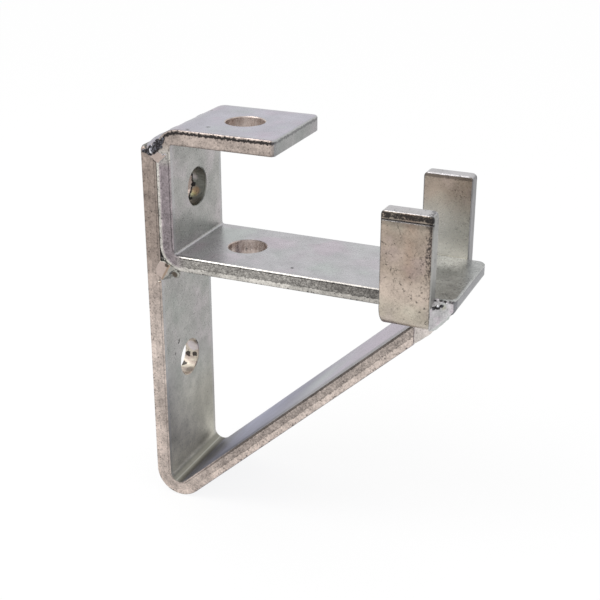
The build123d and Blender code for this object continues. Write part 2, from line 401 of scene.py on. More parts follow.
def build_bend_depth():
    """Depth below the outer face of a bar with one bend, in the plane of its side view."""
    graph, given, result = new_group(
        "Bend Depth",
        {"Position": "Vector", "Centre": "Vector", "Normal 1": "Vector", "Normal 2": "Vector",
         "Along 1": "Vector", "Along 2": "Vector", "Radius": "Float"},
        {"Depth": "Float"},
    )
    position, centre, *directions, radius = given
    place = graph.vector("SUBTRACT", position, centre)
    reach = [graph.vector("DOT_PRODUCT", place, direction) for direction in directions]
    legs = [graph.math("ADD", value, radius) for value in reach[:2]]
    past = [graph.math("GREATER_THAN", value, 0.0) for value in reach[2:]]
    arc = graph.math("SUBTRACT", radius, graph.vector("LENGTH", place))
    graph.feed(result["Depth"], graph.blend(graph.times(*past), graph.math("MINIMUM", *legs), arc))


def build_ragged_band():
    """Band between two depths with ragged edges."""
    graph, given, result = new_group(
        "Ragged Band",
        {"Position": "Vector", "Depth": "Float", "From": "Float", "To": "Float", "Softness": "Float",
         "Raggedness": "Float", "Scale": "Float"},
        {"Mask": "Float"},
    )
    position, depth, start, end, soft, raggedness, scale = given
    wander = graph.math("SUBTRACT", graph.clouds(position, scale, 4.0, 0.65), 0.5)
    depth = graph.ramp(wander, raggedness, depth)
    rising = graph.step(depth, graph.math("SUBTRACT", start, soft), graph.math("ADD", start, soft))
    falling = graph.step(depth, graph.math("ADD", end, soft), graph.math("SUBTRACT", end, soft))
    graph.feed(result["Mask"], graph.times(rising, falling))


def build_plate_tone():
    """Soft clouds, fine grain and pits over a plate colour."""
    graph, given, result = new_group(
        "Plate Tone",
        {"Position": "Vector", "Colour": "Color", "Cloud Size": "Float", "Grain Size": "Float",
         "Contrast": "Float"},
        {"Colour": "Color", "Grain": "Float"},
    )
    position, colour, cloud_size, grain_size, contrast = given
    cloud = graph.clouds(position, graph.math("DIVIDE", 1.0, cloud_size), 5.0, 0.6)
    grain = graph.clouds(position, graph.math("DIVIDE", 1.0, grain_size), 3.0, 0.7)
    sway = graph.math("SUBTRACT", graph.blend(0.5, cloud, grain), 0.5)
    pits = graph.step(grain, 0.36, 0.28)
    level = graph.ramp(graph.times(pits, contrast), -0.3, graph.ramp(sway, contrast, 1.0))
    graph.feed(result["Colour"], graph.scale(colour, level))
    graph.feed(result["Grain"], grain)


def build_plate_tint():
    """Drifting interference colours over a plate colour."""
    graph, given, result = new_group(
        "Plate Tint",
        {"Position": "Vector", "Colour": "Color", "Colour 1": "Color", "Colour 2": "Color",
         "Size": "Float", "Strength": "Float"},
        {"Colour": "Color"},
    )
    position, colour, colour_1, colour_2, size, strength = given
    drift = graph.clouds(position, graph.math("DIVIDE", 1.0, size), 2.0)
    tinted = graph.tint(graph.times(graph.step(drift, 0.5, 0.68), strength), colour, colour_1)
    tinted = graph.tint(graph.times(graph.step(drift, 0.48, 0.32), strength), tinted, colour_2)
    graph.feed(result["Colour"], tinted)


def build_dark_specks():
    """Scattered small round specks."""
    graph, given, result = new_group(
        "Dark Specks",
        {"Position": "Vector", "Spacing": "Float", "Size": "Float", "Share": "Float"},
        {"Mask": "Float"},
    )
    position, spacing, size, share = given
    scale = graph.math("DIVIDE", 1.0, spacing)
    cells = graph.node("ShaderNodeTexVoronoi", {"Vector": position, "Scale": scale}).node.outputs
    red, green, _ = graph.split(cells["Color"], "ShaderNodeSeparateColor")
    size = graph.times(size, graph.math("ADD", green, 0.4))
    disc = graph.step(graph.times(cells["Distance"], spacing), size, graph.times(size, 0.35))
    graph.feed(result["Mask"], graph.times(disc, graph.math("LESS_THAN", red, share)))


def build_hair_cracks():
    """Thin branching cracks in patches."""
    graph, given, result = new_group(
        "Hair Cracks",
        {"Position": "Vector", "Spacing": "Float", "Width": "Float"},
        {"Mask": "Float"},
    )
    position, spacing, width = given
    bend = graph.node("ShaderNodeTexNoise", {"Vector": position, "Scale": 0.5, "Detail": 4.0}, 1)
    bend = graph.scale(graph.vector("SUBTRACT", bend, (0.5, 0.5, 0.5)), 5.0)
    border = graph.node(
        "ShaderNodeTexVoronoi",
        {"Vector": graph.vector("ADD", position, bend), "Scale": graph.math("DIVIDE", 1.0, spacing)},
        feature="DISTANCE_TO_EDGE",
    )
    line = graph.step(graph.times(border, spacing), width, 0.0)
    broken = graph.step(graph.clouds(position, 0.5), 0.46, 0.56)
    patch = graph.step(graph.clouds(position, 0.13, 2.0), 0.42, 0.56)
    graph.feed(result["Mask"], graph.times(line, broken, patch))


def build_torn_grain():
    """Coarse broken grain of a torn steel edge."""
    graph, given, result = new_group(
        "Torn Grain",
        {"Position": "Vector", "Size": "Float"},
        {"Grain": "Float"},
    )
    position, size = given
    scale = graph.math("DIVIDE", 1.0, size)
    fine = graph.clouds(position, scale, 4.0, 0.75)
    coarse = graph.clouds(position, graph.times(scale, 0.3), 3.0, 0.6)
    graph.feed(result["Grain"], graph.step(graph.blend(0.35, fine, coarse), 0.4, 0.62))


def build_round_mark():
    """Ragged round mark about a point or, with an axis, about a line."""
    graph, given, result = new_group(
        "Round Mark",
        {"Position": "Vector", "Centre": "Vector", "Axis": "Vector", "Radius": "Float",
         "Softness": "Float", "Raggedness": "Float"},
        {"Mask": "Float"},
    )
    position, centre, axis, radius, softness, raggedness = given
    place = graph.vector("SUBTRACT", position, centre)
    along = graph.vector("DOT_PRODUCT", place, axis)
    across = graph.vector("SUBTRACT", place, graph.scale(axis, along))
    wander = graph.math("SUBTRACT", graph.clouds(position, 1.1), 0.5)
    reach = graph.ramp(wander, raggedness, graph.vector("LENGTH", across))
    limits = graph.math("ADD", radius, softness), graph.math("SUBTRACT", radius, softness)
    graph.feed(result["Mask"], graph.step(reach, *limits))


GROUP_BUILDERS = (
    build_bend_depth, build_ragged_band, build_plate_tone, build_plate_tint, build_dark_specks,
    build_hair_cracks, build_torn_grain, build_round_mark,
)


class Coat:
    """A material in the making: its graph, its place in millimetres, its colour and height."""

    def __init__(self, name, settings):
        self.material = bpy.data.materials.new(name)
        self.material.use_nodes = True
        self.graph = Graph(self.material.node_tree)
        self.shader = self.material.node_tree.nodes["Principled BSDF"]
        self.settings = settings
        where = self.graph.tree.nodes.new("ShaderNodeTexCoord").outputs
        self.place = self.graph.scale(where["Object"], 1 / MM)
        self.normal = where["Normal"]
        self.x, self.y, self.z = self.graph.split(self.place)
        self.colour = None
        self.grain = None
        self.rough = settings.roughness
        self.height = 0.5

    def group(self, name, inputs):
        return self.graph.group(name, {"Position": self.place, **inputs})

    def tinted(self, colour, size, strength):
        """Plate colour with drifting interference colours."""
        return self.group("Plate Tint", {
            "Colour": colour, "Colour 1": self.settings.tint_rose, "Colour 2": self.settings.tint_green,
            "Size": size, "Strength": strength,
        })

    def plate(self, colour, contrast):
        """Zinc plate of one colour, clouded and grained. The first one gives the coat its grain."""
        made = self.group("Plate Tone", {
            "Colour": colour, "Contrast": contrast, "Cloud Size": self.settings.cloud_size / MM,
            "Grain Size": self.settings.grain_size / MM,
        })
        if self.grain is None:
            self.grain = made.node.outputs["Grain"]
        return made

    def facing(self, axis, low=0.5, high=0.75):
        """Share of a surface that faces along an axis, either way."""
        part = self.graph.split(self.normal)["xyz".index(axis)]
        return self.graph.step(self.graph.math("ABSOLUTE", part), low, high)

    def cover(self, colour, share, *masks):
        """Lay a share of a colour over the coat where all the masks are."""
        self.colour = self.graph.tint(self.graph.times(*masks, share), self.colour, colour)

    def darken(self, share, *masks):
        self.cover(self.settings.stain_and_shade, share, *masks)

    def mark(self, centre, radius, soft, ragged, axis=(0, 0, 0)):
        """Round mark about a point or, with an axis, about a line, in millimetres."""
        return self.group("Round Mark", {
            "Centre": centre, "Axis": axis, "Radius": radius, "Softness": soft, "Raggedness": ragged,
        })

    def spots(self, marks, soft, ragged, share, *masks):
        """Round marks in the colour of stains and painted shade, or in the colour that a mark names."""
        for centre, radius, *name in marks:
            colour = getattr(self.settings, name[0] if name else "stain_and_shade")
            self.cover(colour, share, self.mark(centre, radius, soft, ragged), *masks)

    def specks(self, spacing, size, share):
        """Dark specks in a share of the cells, with spacing and size in millimetres."""
        return self.group("Dark Specks", {"Spacing": spacing, "Size": size, "Share": share})

    def patches(self, scale, low, high, detail=3.0, rough=0.55):
        """Cloudy patches, from 0 at the low level to 1 at the high level."""
        return self.graph.step(self.graph.clouds(self.place, scale, detail, rough), low, high)

    def cracks(self, share, mask, spacing):
        lines = self.group("Hair Cracks", {"Spacing": spacing, "Width": CRACK_WIDTH})
        self.darken(share, lines, mask)

    def band(self, depth, start, end, soft, ragged, scale=1.2):
        """Ragged band from one depth to another, in millimetres; the scale is its raggedness's own."""
        return self.group("Ragged Band", {
            "Depth": depth, "From": start, "To": end, "Softness": soft, "Raggedness": ragged,
            "Scale": scale,
        })

    def bend_depth(self, place, centre, normals, alongs, radius):
        return self.graph.group("Bend Depth", {
            "Position": place, "Centre": centre, "Normal 1": normals[0], "Normal 2": normals[1],
            "Along 1": alongs[0], "Along 2": alongs[1], "Radius": radius,
        })

    def finish(self, bump=PLATE_BUMP):
        """Connect the layers to the shader, with the bump's height in millimetres."""
        self.shader.inputs["Metallic"].default_value = self.settings.metallic
        relief = self.graph.node(
            "ShaderNodeBump", {"Height": self.height, "Distance": bump * MM, "Strength": 1.0}
        )
        for name, value in (("Base Color", self.colour), ("Roughness", self.rough), ("Normal", relief)):
            self.graph.feed(self.shader.inputs[name], value)
        return self.material


def plate_relief(coat, side, dull=0.0):
    """Grain and roughness that every bar shares; sheared sides and dull places are rougher."""
    graph = coat.graph
    coat.height = graph.ramp(coat.grain, 0.35, 0.4)
    uneven = graph.ramp(graph.math("SUBTRACT", coat.grain, 0.5), 0.25, coat.settings.roughness)
    coat.rough = graph.ramp(side, 0.08, graph.ramp(dull, 0.22, uneven))


def sheared_side(coat, depth, side, colour, torn_from, torn_to, strength, lip_width=0.48):
    """Sheared side of a bar: a smooth band, then torn grain and a dark line at its end."""
    graph = coat.graph
    coat.cover(coat.plate(colour, contrast=3.2), 1.0, side)
    grain = coat.group("Torn Grain", {"Size": TORN_SIZE})
    torn = graph.times(
        coat.band(depth, torn_from, torn_to, soft=0.2, ragged=2.2, scale=0.7), side, strength,
    )
    coat.cover(graph.tint(graph.times(grain, 0.75), coat.settings.torn, colour), 0.95, torn)
    coat.height = graph.ramp(graph.times(torn, grain), -0.9, coat.height)
    border = coat.band(depth, torn_from - 0.1, torn_from + 0.2, soft=0.1, ragged=2.2, scale=0.7)
    coat.darken(0.6, border, side, strength)
    lip = coat.band(
        depth, torn_to, graph.math("ADD", lip_width, torn_to), soft=0.08, ragged=0.7, scale=1.6,
    )
    coat.darken(0.85, lip, side, graph.math("ADD", strength, 0.3, clamp=True))
    by_edge = coat.band(depth, -0.3, 0.9, soft=0.3, ragged=2.0)
    coat.darken(0.8, coat.specks(spacing=1.1, size=0.42, share=0.75), side, by_edge)
    coat.darken(0.6, side, coat.specks(spacing=1.6, size=0.3, share=0.45))
    coat.darken(0.4, side, coat.specks(spacing=0.8, size=0.26, share=0.4))
    coat.darken(0.16, side, graph.flip(coat.group("Torn Grain", {"Size": PITTED_SIZE})))
    outline = coat.band(depth, AT_EDGE, 0.35, soft=0.12, ragged=1.4, scale=1.3)
    coat.darken(0.5, outline, side, coat.patches(0.7, 0.4, 0.55))


def punched_hole(coat, centre, axis, colours, within=1.0):
    """Wall of a punched hole in two colours, streaked along its axis."""
    graph = coat.graph
    wall = graph.times(
        coat.mark(centre, HOLE_RADIUS + HOLE_RIM, soft=0.06, ragged=0.0, axis=axis), within,
    )
    stretch = tuple(0.3 if part else 1.0 for part in axis)
    streaks = graph.clouds(graph.vector("MULTIPLY", coat.place, stretch), 0.5, 4.0, 0.7)
    coat.cover(graph.tint(graph.step(streaks, 0.4, 0.64), *colours), 0.95, wall)
    coat.darken(0.6, wall, coat.patches(0.6, 0.62, 0.7, detail=4.0))
    return wall


def seam_in_hole(coat, wall):
    """Dark seam where the web and the wall strap meet inside a hole."""
    gap = coat.graph.math("ABSOLUTE", coat.graph.math("SUBTRACT", coat.x, WEB_BACK))
    coat.darken(0.95, wall, coat.band(gap, AT_EDGE, 0.3, soft=0.1, ragged=1.5))


def flat_specks(coat):
    coat.darken(0.4, coat.specks(spacing=coat.settings.speck_spacing / MM, size=0.26, share=0.2))
    coat.darken(0.6, coat.specks(spacing=9.0, size=0.5, share=0.18))


def long_edges(coat, face):
    """Lighter strips of painted sheen and thin speckled lines along a bar's long edges, on its faces."""
    inset = coat.graph.math("SUBTRACT", BAR_HALF_WIDTH, coat.graph.math("ABSOLUTE", coat.y))
    coat.cover(coat.settings.level, 0.4, coat.band(inset, 0.4, 2.1, soft=0.35, ragged=1.2), face)
    coat.darken(0.5, coat.band(inset, AT_EDGE, 0.45, soft=0.15, ragged=1.0, scale=1.8), face)


def end_face(coat, out, top):
    """Rolled upper edge of a bar's cut end: a painted highlight on the roll, a ragged dark line below
    it.
    """
    depth = coat.graph.math("SUBTRACT", top, coat.z)
    coat.cover(coat.settings.painted_highlight, 0.7, coat.band(depth, AT_EDGE, 0.6, soft=0.15, ragged=0.8), out)
    coat.darken(0.7, coat.band(depth, 0.75, 1.5, soft=0.2, ragged=2.4, scale=0.9), out)


def c_strap_coat(settings):
    """Lug, web and arm."""
    coat = Coat("Zinc C Strap", settings)
    graph = coat.graph
    on_lug = graph.step(coat.z, LUG_UNDER - 5.0, LUG_UNDER + 1.0)
    on_web = graph.step(coat.x, WEB_FRONT + 6.0, WEB_FRONT - 1.0)
    at_tip = graph.step(coat.x, ARM_TIP - 2, ARM_TIP - 1)
    flat = coat.facing("z")
    side = coat.facing("y")
    face = graph.flip(side)
    end = coat.facing("x", 0.3, 0.6)

    # Level faces get the paler plate, partly painted light as if lit from above
    top = graph.tint(on_lug, settings.level, settings.lug)
    level = coat.plate(coat.tinted(top, size=18.0, strength=0.25), contrast=1.1)
    upright = coat.plate(coat.tinted(settings.upright, size=14.0, strength=0.12), contrast=2.0)
    coat.colour = graph.tint(flat, upright, level)
    plate_relief(coat, side)
    flat_specks(coat)
    long_edges(coat, face)

    # The C is the same above and below its hole, so one bend stands for both
    folded = graph.vector("ABSOLUTE", graph.vector("SUBTRACT", coat.place, (0, 0, UPPER_HOLE)))
    half_height = (LUG_TOP - ARM_UNDER) / 2
    depth = coat.bend_depth(
        graph.vector("MULTIPLY", folded, SIDE_VIEW),
        (WEB_BACK + C_BEND_RADIUS, 0, half_height - C_BEND_RADIUS),
        [(1, 0, 0), (0, 0, -1)], [(0, 0, 1), (-1, 0, 0)], C_BEND_RADIUS,
    )
    outer_arm = graph.step(coat.x, 60.0, 82.0)
    strength = graph.ramp(on_lug, -0.9, graph.ramp(outer_arm, 0.1, 0.8))
    strength = graph.times(strength, graph.ramp(on_web, -0.45, 1.0))
    lower_web = graph.times(on_web, graph.step(coat.z, 52.0, 48.0), graph.step(depth, 1.2, 1.8))
    edge = graph.tint(outer_arm, settings.arm_edge, settings.arm_edge_far)
    edge = graph.tint(on_lug, edge, settings.sheared)
    edge = graph.tint(lower_web, edge, settings.web_edge)
    sheared_side(coat, depth, side, edge, 2.2, BAR_THICKNESS - 0.85, strength)
    coat.darken(0.95, coat.band(depth, 0.7, 1.75, soft=0.16, ragged=2.6, scale=0.8), side, on_lug)

    # Dark rim and shade on the lug's back, and single spots
    coat.spots(LEVEL_SPOTS, 0.3, 0.9, 0.85)
    rim = coat.band(coat.x, WEB_BACK, WEB_BACK + 4.6, soft=0.4, ragged=3.0, scale=0.6)
    coat.darken(0.75, rim, on_lug, coat.patches(0.45, 0.42, 0.58), face)
    coat.darken(0.14, on_lug, graph.step(coat.x, 24.0, 12.0))
    coat.spots(LUG_BEND_SPOTS, 0.3, 1.2, 0.9)
    coat.spots(LUG_CORNER_SPOTS, 0.4, 2.0, 0.85)

    # Shadow at the near edge of the arm's inner corner
    corner = graph.times(graph.step(coat.x, WEB_FRONT + 14, WEB_FRONT + 4), flat)
    shadow = coat.band(
        graph.math("SUBTRACT", coat.y, NEAR_SIDE), 0.5, 1.5, soft=0.25, ragged=1.5, scale=0.5,
    )
    coat.darken(0.6, shadow, corner, graph.step(coat.z, ARM_TOP + 1, ARM_TOP))

    # Cut ends of the lug and the arm, and the seat between the cradle's tabs, paler beside the far tab
    # with painted light
    lug_end = graph.times(end, graph.step(coat.x, WEB_FRONT + 9, WEB_FRONT + 12), on_lug)
    end_face(coat, lug_end, LUG_TOP)
    end_face(coat, graph.times(end, at_tip), ARM_TOP)
    coat.cover(settings.arm_end, 0.35, lug_end)
    between = graph.times(graph.step(coat.x, CRADLE_LOW.x - 4, CRADLE_LOW.x + 4), flat)
    painted_light_by_far_tab = graph.times(graph.step(coat.y, 5.0, 14.0), graph.step(coat.x, 114.0, 110.0))
    seat = coat.plate(graph.tint(painted_light_by_far_tab, settings.between, settings.painted_seat_light), contrast=2.4)
    coat.cover(seat, 0.9, between)
    coat.cracks(0.45, between, 5.0)
    below_roll = graph.step(coat.z, ARM_TOP - 0.4, ARM_TOP - 1.2)
    coat.cover(coat.plate(settings.arm_end, contrast=1.6), 0.8, at_tip, end, below_roll)

    punched_hole(coat, (PIN_HOLE, 0, ARM_UNDER), (0, 0, 1), (settings.bore, settings.bore_streak))
    dull = settings.web_bore, settings.web_bore
    wall = punched_hole(coat, (0, 0, UPPER_HOLE), (1, 0, 0), dull, on_web)
    coat.spots(WEB_HOLE_PATCHES, 0.9, 2.0, 0.6, wall)
    seam_in_hole(coat, wall)
    coat.spots(WEB_HOLE_SPOTS, 0.2, 1.2, 0.95)
    return coat.finish()


def wall_strap_coat(settings):
    """Wall strap and brace."""
    coat = Coat("Zinc Wall Strap", settings)
    graph = coat.graph
    on_wall = graph.step(coat.x, BAR_THICKNESS + 6.0, BAR_THICKNESS + 1.0)
    on_brace = graph.step(coat.x, 12.0, 40.0)
    side = coat.facing("y")
    face = graph.flip(side)

    upright = coat.plate(coat.tinted(settings.upright, size=14.0, strength=0.12), contrast=2.0)
    rose = graph.times(graph.step(coat.x, 50.0, 95.0), 0.42)
    green = graph.times(coat.mark((66, 0, -36), 8.0, soft=12.0, ragged=8.0), 0.4)
    brace = graph.tint(graph.step(coat.x, 30.0, 60.0), settings.brace_low, settings.brace)
    brace = graph.tint(rose, brace, settings.tint_rose)
    brace = coat.plate(graph.tint(green, brace, settings.tint_green), contrast=1.1)
    coat.colour = graph.tint(on_wall, brace, upright)

    # Plate above the foot, off the strap's back: olive tint with painted light and shade, darker higher
    # up, paler towards the bend and on its near half
    near_half = graph.step(coat.y, 8.0, -3.0)
    painted_shading_ramp = graph.blend(graph.step(coat.z, -62.0, -76.0), 0.78, 1.15)
    foot = graph.scale(graph.tint(near_half, settings.foot, settings.foot_near_painted_light), painted_shading_ramp)
    low = graph.times(graph.step(coat.z, -36.0, -60.0), graph.step(coat.x, 12.0, 8.0))
    forward = graph.step(graph.split(coat.normal)[0], -0.3, 0.2)
    coat.cover(coat.plate(foot, contrast=1.6), 0.9, low, forward)
    plate_relief(coat, side, graph.step(coat.z, -30.0, -60.0))
    flat_specks(coat)
    long_edges(coat, face)

    # The foot's inner bend, by how a surface faces to the front, off the brace and out of the fold:
    # painted shade in the fold, on the brace beside it and near the foot, and a thin painted highlight
    # along the crease
    lean, rise = sin(BRACE_ANGLE), cos(BRACE_ANGLE)
    width = Vector((1 - lean, 0, rise)).length
    faces = (1, 0, 0), (-lean, 0, rise), ((1 - lean) / width, 0, rise / width)
    to_front, to_brace, to_fold = (
        graph.vector("DOT_PRODUCT", coat.normal, direction) for direction in faces
    )
    turned = graph.times(graph.step(to_front, 0.99, 0.9), graph.step(to_brace, 0.99, 0.9))
    inside = graph.times(turned, graph.step(to_fold, 0.0, 0.2))
    coat.cover(settings.painted_fold_shade, 0.85, turned, graph.step(to_fold, 0.7, 0.9))
    coat.cover(settings.foot_shade, 0.7, inside, graph.step(to_brace, 0.5, 0.8))
    coat.cover(settings.foot_shade, 0.6, graph.step(coat.x, 27.0, 14.0), graph.step(to_brace, 0.9, 0.99))
    coat.cover(settings.painted_reflection, 0.45, turned, graph.step(to_fold, 0.9965, 0.9996))

    depth = coat.bend_depth(
        graph.vector("MULTIPLY", coat.place, SIDE_VIEW),
        (FOOT_BEND_RADIUS, 0, FOOT_CORNER + FOOT_BEND_RADIUS * (1 + lean) / rise),
        faces[:2], [(0, 0, -1), (-rise, 0, -lean)], FOOT_BEND_RADIUS,
    )
    upper = graph.times(graph.step(coat.z, -20.0, 20.0), on_wall)
    edge = graph.tint(upper, settings.strap_edge, settings.speckled)
    strength = graph.ramp(on_brace, 0.45, 0.2)
    lip_width = graph.ramp(on_brace, 0.45, 0.4)
    sheared_side(coat, depth, side, edge, 2.6, BAR_THICKNESS - 0.8, strength, lip_width)

    # Painted shadow along the near edge of the brace's upper face, wider from its middle on
    inset = graph.math("SUBTRACT", coat.y, NEAR_SIDE)
    painted_shadow = coat.band(inset, -3.0, 6.0, soft=2.0, ragged=1.5, scale=0.6)
    coat.darken(0.55, painted_shadow, on_brace, graph.step(to_brace, 0.2, 0.6), face)
    wide_painted_shadow = coat.band(inset, -3.0, 7.6, soft=1.4, ragged=1.5, scale=0.6)
    outer = graph.times(graph.step(coat.x, 55.0, 72.0), graph.step(coat.x, 106.0, 90.0))
    coat.darken(0.45, outer, wide_painted_shadow, face)

    dull = settings.bore_dull, settings.bore_streak
    seam_in_hole(coat, punched_hole(coat, (0, 0, UPPER_HOLE), (1, 0, 0), dull, on_wall))
    warm = settings.strap_bore, settings.bore_streak
    wall = punched_hole(coat, (0, 0, LOWER_HOLE), (1, 0, 0), warm, on_wall)
    coat.spots(STRAP_HOLE_PATCHES, 0.5, 0.8, 0.75, wall)
    coat.spots(STRAP_SPOTS, 0.15, 2.2, 0.9)
    return coat.finish()


def cradle_coat(settings):
    """U-shaped cradle."""
    coat = Coat("Zinc Cradle", settings)
    graph = coat.graph
    cut = coat.facing("x")
    flat = graph.flip(cut)
    near_half = graph.step(coat.y, 0.0, -1.0)
    across = graph.math("ABSOLUTE", coat.y)
    inner = graph.step(across, CRADLE_HIGH.y - 3.0, CRADLE_HIGH.y - 5.0)
    outside = graph.step(across, CRADLE_HIGH.y - 2.0, CRADLE_HIGH.y - 0.8)

    pale = graph.step(coat.z, CRADLE_LOW.z + 23.0, CRADLE_LOW.z + 16.0)
    bend = graph.step(coat.z, CRADLE_LOW.z + 14.0, CRADLE_LOW.z + 8.0)
    streak = coat.mark((104.5, -CRADLE_HIGH.y, CRADLE_LOW.z), 1.5, soft=3.0, ragged=3.0, axis=(0, 0, 1))
    face = graph.tint(pale, settings.cradle, settings.cradle_low)
    face = graph.tint(bend, face, settings.cradle_bend)
    face = graph.tint(graph.times(streak, graph.flip(pale), 0.4), face, settings.cradle_streak)
    coat.colour = coat.plate(coat.tinted(face, size=12.0, strength=0.1), contrast=1.8)
    plate_relief(coat, cut)

    # Painted reflection that lightens the lower inner faces of the tabs, where shade falls by the arm
    coat.cover(settings.painted_reflection, 0.75, inner, graph.step(coat.z, ARM_TOP + 26.0, ARM_TOP + 10.0))
    cut_plate = graph.tint(graph.step(coat.y, 0.0, 1.0), settings.upright, settings.tab_side)
    coat.cover(coat.plate(cut_plate, contrast=1.6), 1.0, cut)
    coat.darken(0.18, cut, graph.step(coat.z, 33.0, 42.0))
    # The tabs' top faces get the paler level plate, partly painted light as if lit from above
    on_top = graph.times(coat.facing("z"), graph.step(coat.z, ARM_TOP, ARM_TOP + 5))
    coat.cover(coat.plate(settings.level, contrast=0.9), 0.9, on_top)
    flat_specks(coat)
    coat.cracks(0.75, graph.ramp(near_half, 0.6, 0.4), 6.0)

    # Burnt crest along the tabs' tops, with a groove and a soft shade below it on the near tab
    depth = graph.math("SUBTRACT", CRADLE_HIGH.z, coat.z)
    crest = coat.band(depth, 0.5, 2.5, soft=0.25, ragged=2.0, scale=0.9)
    coat.darken(0.95, crest, outside, coat.patches(0.9, 0.7, 0.53, detail=4.0, rough=0.7))
    coat.darken(0.8, coat.band(depth, 3.1, 3.7, soft=0.12, ragged=0.6, scale=1.5), outside, near_half)
    coat.darken(0.3, coat.band(depth, 2.4, 5.2, soft=0.6, ragged=1.5, scale=0.6), outside, near_half)

    # Thin line along the long edges, and blots by the near tab's right edge that thin out downwards
    middle = (CRADLE_LOW.x + CRADLE_HIGH.x) / 2
    half_width = (CRADLE_HIGH.x - CRADLE_LOW.x) / 2
    off_middle = graph.math("ABSOLUTE", graph.math("SUBTRACT", coat.x, middle))
    inset = graph.math("SUBTRACT", half_width, off_middle)
    coat.darken(0.5, coat.band(inset, AT_EDGE, 0.5, soft=0.2, ragged=1.6, scale=1.4), flat)
    near_right = graph.times(graph.step(coat.x, middle, middle + 1), near_half)
    upper = graph.step(coat.z, CRADLE_LOW.z + 14.0, CRADLE_LOW.z + 26.0)
    for start, end, scale, share in ((0.2, 1.0, 1.5, 0.85), (0.6, 2.2, 1.0, 0.7)):
        blots = graph.times(
            coat.band(inset, start, end, soft=0.25, ragged=3.0, scale=0.9), flat,
            coat.patches(scale, 0.43, 0.54, detail=4.0, rough=0.7), near_right,
        )
        coat.darken(share, blots, graph.ramp(upper, 0.85, 0.15))
    # Pale specks on the tabs' inner faces are painted glints
    coat.cover(settings.painted_highlight, 0.4, coat.specks(spacing=1.5, size=0.24, share=0.35), inner, flat)
    coat.spots(TAB_SPOTS, 0.25, 1.6, 0.8)
    lip = coat.band(depth, 0.2, 1.6, soft=0.3, ragged=1.8, scale=1.0)
    coat.darken(0.55, lip, coat.facing("y", 0.2, 0.6), inner)
    return coat.finish()


def weld_coat(weld, zinc):
    """Plated weld metal, with slag and pores where the bead's own values say."""
    coat = Coat("Zinc Weld", zinc)
    graph = coat.graph
    by_wall = graph.step(coat.x, WEB_FRONT + 20.0, WEB_FRONT + 10.0)
    lower = graph.times(by_wall, graph.step(coat.z, 30.0, 20.0))
    across = graph.math("ABSOLUTE", coat.y)
    ends = graph.times(
        graph.step(across, BAR_HALF_WIDTH - 1.2, BAR_HALF_WIDTH - 0.4), coat.facing("y", 0.7, 0.92),
    )
    metal = coat.plate(coat.tinted(weld.metal, size=6.0, strength=0.3), contrast=2.4)
    coat.colour = graph.tint(lower, metal, coat.plate(weld.wall_metal, contrast=1.0))
    coat.cover(coat.plate(weld.warm, contrast=1.0), 1.0, ends, by_wall)
    coat.cover(coat.plate(weld.cream, contrast=2.6), 0.8, ends, graph.step(coat.z, 3.5, 2.5))
    coat.cover(weld.slope, 0.85, graph.step(coat.z, 51.0, 53.5), coat.facing("z", 0.3, 0.6))
    # Painted shade along the left side of the heel weld's ridge
    ridge_shade = coat.mark(
        (9.0, NEAR_SIDE - 0.4, 9.2), 0.35, soft=0.3, ragged=0.6, axis=(-0.485, 0.0, -0.875),
    )
    coat.cover(weld.seam, 0.8, ridge_shade, lower)
    seam = coat.mark((115.0, NEAR_SIDE - 0.5, 14.3), 0.3, soft=0.2, ragged=1.6, axis=(1, 0, 0))
    coat.darken(0.85, seam, graph.step(coat.x, 111.5, 112.5))
    # Painted reflection: an olive patch on the tip weld
    coat.cover(
        zinc.bore_olive, 0.3, coat.mark((116.2, NEAR_SIDE - 2.5, 13.1), 0.8, soft=0.8, ragged=0.8),
    )
    coat.height = graph.ramp(coat.grain, 0.3, 0.4)

    slag, pore = (
        graph.node("ShaderNodeAttribute", {}, 2, attribute_name=name) for name in ("slag", "pore")
    )
    wander = graph.math("SUBTRACT", graph.clouds(coat.place, 1.3), 0.5)
    slag = graph.step(graph.ramp(wander, 0.6, slag), 0.3, 0.5)
    coat.cover(weld.slag, 1.0, slag)
    coat.darken(0.94, slag, coat.patches(1.0, 0.42, 0.52))
    # Painted glints: a bright streak on a lump of the top weld's slag, and a spot on the tip weld
    streak = coat.mark((4.7, NEAR_SIDE - 1.2, 54.7), 0.4, soft=0.2, ragged=0.8, axis=(0.44, 0.0, -0.9))
    cut_off = coat.mark((5.0, NEAR_SIDE, 54.2), 1.5, soft=0.3, ragged=0.0, axis=(0, 1, 0))
    coat.cover(weld.painted_glint, 0.9, streak, cut_off, slag)
    coat.cover(weld.painted_glint, 0.9, coat.mark((114.5, NEAR_SIDE - 4.1, 14.3), 0.5, soft=0.25, ragged=0.8))
    coat.darken(0.5, coat.specks(spacing=2.2, size=0.3, share=0.3))
    coat.cover(weld.pore, 0.9, graph.step(pore, 0.3, 0.75))
    coat.rough = graph.blend(slag, zinc.roughness, 0.1)
    return coat.finish(WELD_BUMP)


def near_side(x, depth, z):
    """Point at a depth in from the bars' near side."""
    return Vector((x, NEAR_SIDE + depth, z))


def hull(shape, points):
    """Closed convex shell around points."""
    corners = [shape.verts.new(point) for point in points]
    made = bmesh.ops.convex_hull(shape, input=corners)
    spare = dict.fromkeys(made["geom_interior"] + made["geom_unused"])
    inner = [part for part in spare if isinstance(part, bmesh.types.BMVert)]
    bmesh.ops.delete(shape, geom=inner, context="VERTS")


